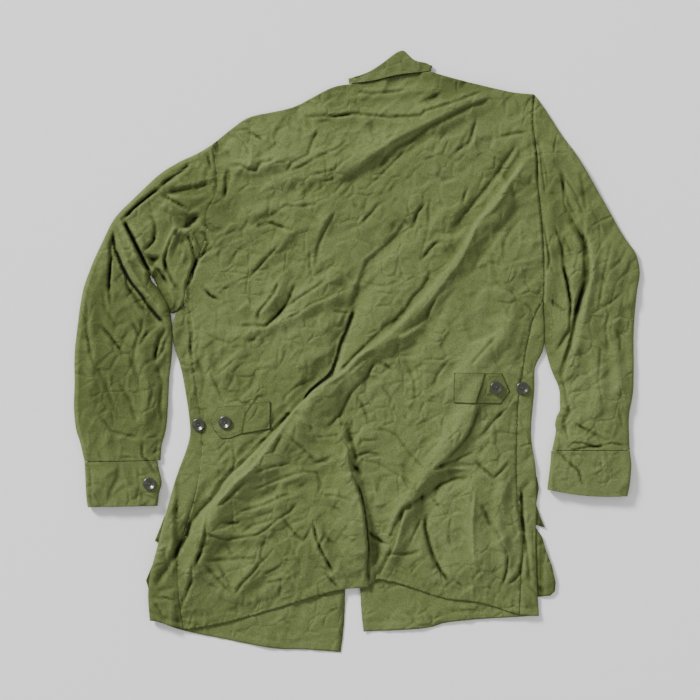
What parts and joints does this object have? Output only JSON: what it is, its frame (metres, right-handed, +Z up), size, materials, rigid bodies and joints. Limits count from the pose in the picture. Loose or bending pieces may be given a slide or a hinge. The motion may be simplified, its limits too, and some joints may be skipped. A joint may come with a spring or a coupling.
{
  "type": "jungle fatigue shirt",
  "caption": "Long-sleeved olive cotton jungle fatigue shirt laid flat, face down, with waist tabs, bellows pockets and buttoned cuffs.",
  "frame": {"origin": "centre of the shirt's outline, on the surface it lies on", "axes": "+Z up, out of the back panel; +Y from the hem to the collar; +X to the right as seen from above, face down"},
  "size_m": [0.848, 0.902, 0.0314],
  "materials": {
    "cloth": "matte",
    "trim_cloth": "matte",
    "button": "semi-gloss"
  },
  "bodies": {
    "root": {"back": "cloth", "front_left": "cloth", "front_right": "cloth", "sleeve_left": "cloth", "sleeve_right": "cloth", "cuff_left": "trim_cloth", "cuff_right": "trim_cloth", "collar": "trim_cloth", "waist_tab_left": "trim_cloth", "waist_tab_right": "trim_cloth", "pocket_left": "trim_cloth", "pocket_right": "trim_cloth", "pocket_flap_left": "trim_cloth", "pocket_flap_right": "trim_cloth", "tab_button_left": "button", "tab_button_right": "button", "spare_button_left": "button", "spare_button_right": "button", "cuff_button_left": "button"}
  },
  "joints": []
}
